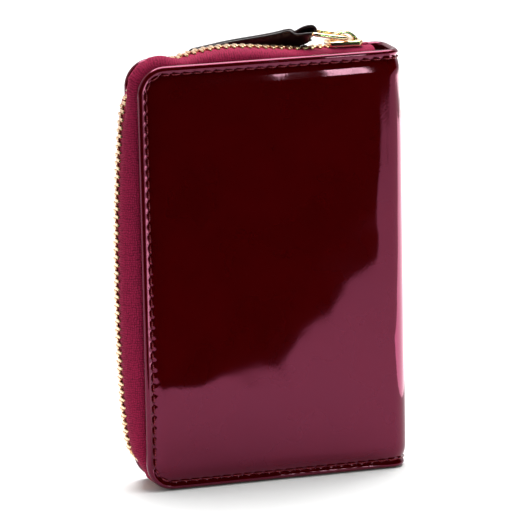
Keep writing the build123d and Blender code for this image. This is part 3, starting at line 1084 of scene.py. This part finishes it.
def makeRing():
    corner, half = ring["corner"], ring["width"] / 2
    path = []
    for cx, cy, start in ((ring["reach"] - corner, half - corner, 90), (corner, half - corner, 180),
                          (corner, corner - half, 270), (ring["reach"] - corner, corner - half, 0)):
        for k in range(9):
            turn = radians(start - 90 + 90 * k / 8)
            path.append((cx + corner * cos(turn), cy + corner * sin(turn)))
    curve = bpy.data.curves.new("pullRing", "CURVE")
    curve.dimensions = "3D"
    line = curve.splines.new("POLY")
    line.points.add(len(path) - 1)
    origin = Vector((ring["barX"], 0, ring["barZ"]))
    for point, (reach, y) in zip(line.points, path):
        spot = (origin + ringAlong * reach + Vector((0, y, 0))) * mm
        point.co = (spot.x, spot.y, spot.z, 1)
    line.use_cyclic_u = True
    curve.bevel_depth = ring["bar"] / 2 * mm
    curve.bevel_resolution = 5
    made = bpy.data.objects.new("pullRing", curve)
    bpy.context.scene.collection.objects.link(made)
    only(made)
    bpy.ops.object.convert(target="MESH")
    made = bpy.context.object
    mergeDoubles(made, 0.000002)
    smooth(made, 60)
    made.data.materials.clear()
    made.data.materials.append(sliderMetal)
    return made


pullRing = makeRing()
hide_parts("pull_ring")
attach(pullRing, "ring")


# Pull tab: strap folded round the ring, sewn along both sides, its tail sinking behind the chain

strap = {
    "length": 36.0,
    "width": 7.2,
    "layer": 0.85,
    "hole": 0.85,
    "neck": 2.8,
    "topEdge": 137.6,      # height of its upper edge where the twist is done
    "fall": 0.150,         # and how fast that edge falls towards the tail
    "arch": 0.3,           # it springs up a little past the ring
    "twist": 62.0,         # it turns on edge and flops behind the chain
    "twistDone": 3.3,
    "seam": 1.1,
    "stitchPitch": 2.6,
}


def strapRoll(reach):
    return radians(strap["twist"]) * smoothStep(-2.2, strap["twistDone"], reach)


def strapMiddle(reach):
    roll = strapRoll(reach)
    settled = strap["topEdge"] - strap["fall"] * reach - strap["width"] / 2 * sin(roll) - 0.4
    settled += strap["arch"] * exp(-((reach - 4.5) / 2.2) ** 2)
    share = smoothStep(-1, strap["twistDone"], reach)
    back = 5.0 * smoothStep(0, strap["twistDone"] + 4, reach) + 3.4 * smoothStep(8, 26, reach)
    return Vector((foldPoint.x - reach * 0.985, back, foldPoint.z * (1 - share) + settled * share))


def strapAxes(reach):
    reach = max(reach, 0)
    along = (strapMiddle(reach + 0.2) - strapMiddle(reach - 0.2)).normalized()
    roll = strapRoll(reach)
    across = Vector((0, 1, 0))
    across = (across - along * across.dot(along)).normalized()
    up = along.cross(across)
    if up.z < 0:
        up = -up
    return along, across * cos(roll) - up * sin(roll), up * cos(roll) + across * sin(roll)


def makeStrap():
    hole, layer, neck = strap["hole"], strap["layer"], strap["neck"]
    around = hole + layer
    stations = []
    # outer side first: from the tail's top, round the ring, back under to the tail
    topRun = [strap["length"] - k * 1.0 for k in range(int(strap["length"] - neck))]
    for reach in topRun:
        stations.append((reach, layer))
    for k in range(1, 7):
        share = k / 6
        reach = neck * (1 - share) + 0.1
        stations.append((reach, layer + (around - layer) * smoothStep(0, 1, share)))
    turns = 14
    for k in range(1, turns):
        turn = pi * k / turns
        stations.append((-around * sin(turn), around * cos(turn)))
    under = [(reach, -height) for reach, height in stations[:len(topRun) + 6]]
    stations += list(reversed(under))
    across = 15

    def place(i, j):
        reach, height = stations[j]
        side = 2 * i / (across - 1) - 1
        axis, wide, up = strapAxes(reach)
        cut = 1.0
        tail = strap["length"] - reach
        if tail < 1.6:
            cut = 1 - 0.22 * (1 - sqrt(max(1 - ((1.6 - tail) / 1.6) ** 2, 0)))
        edge = abs(side) * strap["width"] / 2
        thin = 0.30 * exp(-((edge - strap["width"] / 2 + strap["seam"]) / 0.35) ** 2)
        thin += 0.35 * smoothStep(strap["width"] / 2 - 0.6, strap["width"] / 2, edge) ** 2
        height -= (thin if height > 0 else -thin) * (1 if abs(height) <= layer + 0.01 else 0.5)
        return strapMiddle(reach) + wide * side * strap["width"] / 2 * cut + up * height

    band = gridPiece("pullStrap", across, len(stations))
    layGrid(band, across, len(stations), place)
    return band


def closeStrap(band):
    # wall inwards makes the fold's leather, and both tails meet
    turnOut(band, lambda face: face.normal.x > 0)
    wall = band.modifiers.new("wall", "SOLIDIFY")
    wall.thickness = 0.86 * mm
    wall.offset = -1
    finer = band.modifiers.new("finer", "SUBSURF")
    finer.levels = 1
    finer.render_levels = 1
    applyAll(band)
    smooth(band, 60)
    band.data.materials.append(strapLeather)


pullStrap = makeStrap()
closeStrap(pullStrap)
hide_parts("pull_tab")
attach(pullStrap, "tab")


def makeStrapStitches():
    pattern = makeOneStitch(2.2, 0.42, 0.3)
    places = []
    count = int((strap["length"] - 8) / strap["stitchPitch"])
    for face in (1, -1):
        for row in (-1, 1):
            for k in range(count):
                reach = 6.0 + k * strap["stitchPitch"]
                along, wide, up = strapAxes(reach)
                spot = strapMiddle(reach) + wide * row * (strap["width"] / 2 - strap["seam"])
                spot += up * face * (strap["layer"] - 0.22)
                turn = Matrix((along, (up * face).cross(along), up * face)).transposed().to_4x4()
                places.append(Matrix.Translation(spot * mm) @ turn)
    made = scatter(pattern, places, "strapStitches", strapThread)
    bpy.data.objects.remove(pattern)
    return made


strapStitches = makeStrapStitches()
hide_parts("pull_tab_stitching")
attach(strapStitches, "tab")
print("ring and strap hung on the slider")


# Table, lights and camera

table = {
    "frontEdge": ((-2.5, -0.128), (0.038, -0.128), (0.061, -0.172), (0.077, -0.187), (0.112, -0.258),
                  (0.15, -0.31), (0.25, -0.52), (2.5, -0.90)),
    "back": 2.5,
    "white": (0.93, 0.93, 0.93, 1),
}


def makeTable():
    clearSelection()
    edge = table["frontEdge"]
    bpy.ops.mesh.primitive_grid_add(x_subdivisions=len(edge) - 1, y_subdivisions=1, size=2)
    top = bpy.context.object
    top.name = "tableTop"
    for vertex in top.data.vertices:
        x, front = edge[round((vertex.co.x + 1) / 2 * (len(edge) - 1))]
        vertex.co = (x, table["back"] if vertex.co.y > 0 else front, -0.0002)
    finish, tree, shader = newFinish("tablePaper")
    points = objectPoints(tree)
    tone = rampBetween(tree, noiseFrom(tree, points, 40, 3), (0.92, 0.92, 0.92, 1), table["white"])
    tree.links.new(tone, shader.inputs["Base Color"])
    shader.inputs["Roughness"].default_value = 0.9
    shader.inputs["Specular IOR Level"].default_value = 0.1
    top.data.materials.append(finish)
    return top


makeTable()

# the patch lamp is toned green so that the wine-red lacquer's tinted sheen gives back a pale pink
lamps = {
    "overhead": {"place": (0.10, 0.25, 1.15), "aim": (0, 0, 0.05), "size": (1.1, 0.9), "power": 26},
    "patch": {"place": (0.334, -0.955, 0.24), "aim": (0.02, 0, 0.125), "size": (0.022, 0.36), "power": 0.72,
              "tone": (0.40, 1.0, 0.62)},
    "rightStrip": {"place": (0.37, 0.12, 0.002), "aim": (0.37, 0.12, 1), "size": (0.50, 0.5), "power": 3.4},
    "leftFill": {"place": (-1.0, -0.3, 0.6), "aim": (-0.02, 0, 0.06), "size": (0.7, 0.7), "power": 0.4},
}


def addLamp(name, choice):
    light = bpy.data.lights.new(name, "AREA")
    light.shape = "RECTANGLE"
    light.size, light.size_y = choice["size"]
    light.energy = choice["power"]
    light.color = choice.get("tone", (1, 1, 1))
    lamp = bpy.data.objects.new(name, light)
    lamp.location = choice["place"]
    aim = Vector(choice["aim"]) - Vector(choice["place"])
    lamp.rotation_euler = aim.to_track_quat("-Z", "Y").to_euler()
    bpy.context.scene.collection.objects.link(lamp)
    return lamp


for lampName, lampChoice in lamps.items():
    addLamp(lampName, lampChoice)


backdrop = {
    "seen": 1.0,
    "ambient": 0.42,
    "behind": 1.0,
    "inFront": 0.006,
}


def makeBackdrop():
    # white to the camera; in gloss it is bright behind the wallet and dark in front
    world = bpy.data.worlds.new("studio")
    bpy.context.scene.world = world
    world.use_nodes = True
    tree = world.node_tree
    tree.nodes.clear()
    out = tree.nodes.new("ShaderNodeOutputWorld")
    path = tree.nodes.new("ShaderNodeLightPath")
    coords = tree.nodes.new("ShaderNodeTexCoord")
    split = tree.nodes.new("ShaderNodeSeparateXYZ")
    tree.links.new(coords.outputs["Generated"], split.inputs["Vector"])
    rise = addNode(tree, "ShaderNodeMapRange", From_Min=-0.15, From_Max=0.25,
                   To_Min=backdrop["inFront"], To_Max=backdrop["behind"])
    rise.clamp = True
    tree.links.new(split.outputs["Y"], rise.inputs["Value"])
    gloss = tree.nodes.new("ShaderNodeBackground")
    tree.links.new(rise.outputs["Result"], gloss.inputs["Strength"])
    seen = addNode(tree, "ShaderNodeBackground", Strength=backdrop["seen"])
    seen.inputs["Color"].default_value = (1, 1, 1, 1)
    ambient = addNode(tree, "ShaderNodeBackground", Strength=backdrop["ambient"])
    ambient.inputs["Color"].default_value = (1, 1, 1, 1)
    gloss.inputs["Color"].default_value = (1, 1, 1, 1)
    first = tree.nodes.new("ShaderNodeMixShader")
    second = tree.nodes.new("ShaderNodeMixShader")
    tree.links.new(path.outputs["Is Glossy Ray"], first.inputs["Fac"])
    tree.links.new(ambient.outputs[0], first.inputs[1])
    tree.links.new(gloss.outputs[0], first.inputs[2])
    tree.links.new(path.outputs["Is Camera Ray"], second.inputs["Fac"])
    tree.links.new(first.outputs[0], second.inputs[1])
    tree.links.new(seen.outputs[0], second.inputs[2])
    tree.links.new(second.outputs[0], out.inputs["Surface"])


makeBackdrop()

view = {
    "aim": (leafLeft * mm + 0.03733, -0.0085, 0.06813),
    "distance": 1.380,
    "azimuth": -16.7,
    "elevation": 13.15,
    "lens": 315.0,
    "roll": 1.11,
}


def makeCamera():
    eye = bpy.data.cameras.new("eye")
    eye.lens = view["lens"]
    eye.sensor_width = 36
    eye.clip_start, eye.clip_end = 0.1, 20
    camera = bpy.data.objects.new("eye", eye)
    bpy.context.scene.collection.objects.link(camera)
    turn, rise = radians(view["azimuth"]), radians(view["elevation"])
    back = Vector((sin(turn) * cos(rise), -cos(turn) * cos(rise), sin(rise)))
    camera.location = Vector(view["aim"]) + back * view["distance"]
    level = (-back).to_track_quat("-Z", "Y").to_matrix()
    camera.rotation_euler = (level @ Matrix.Rotation(-radians(view["roll"]), 3, "Z")).to_euler()
    bpy.context.scene.camera = camera


makeCamera()
bpy.context.scene.view_settings.view_transform = "Standard"
print("table, lights and camera set")
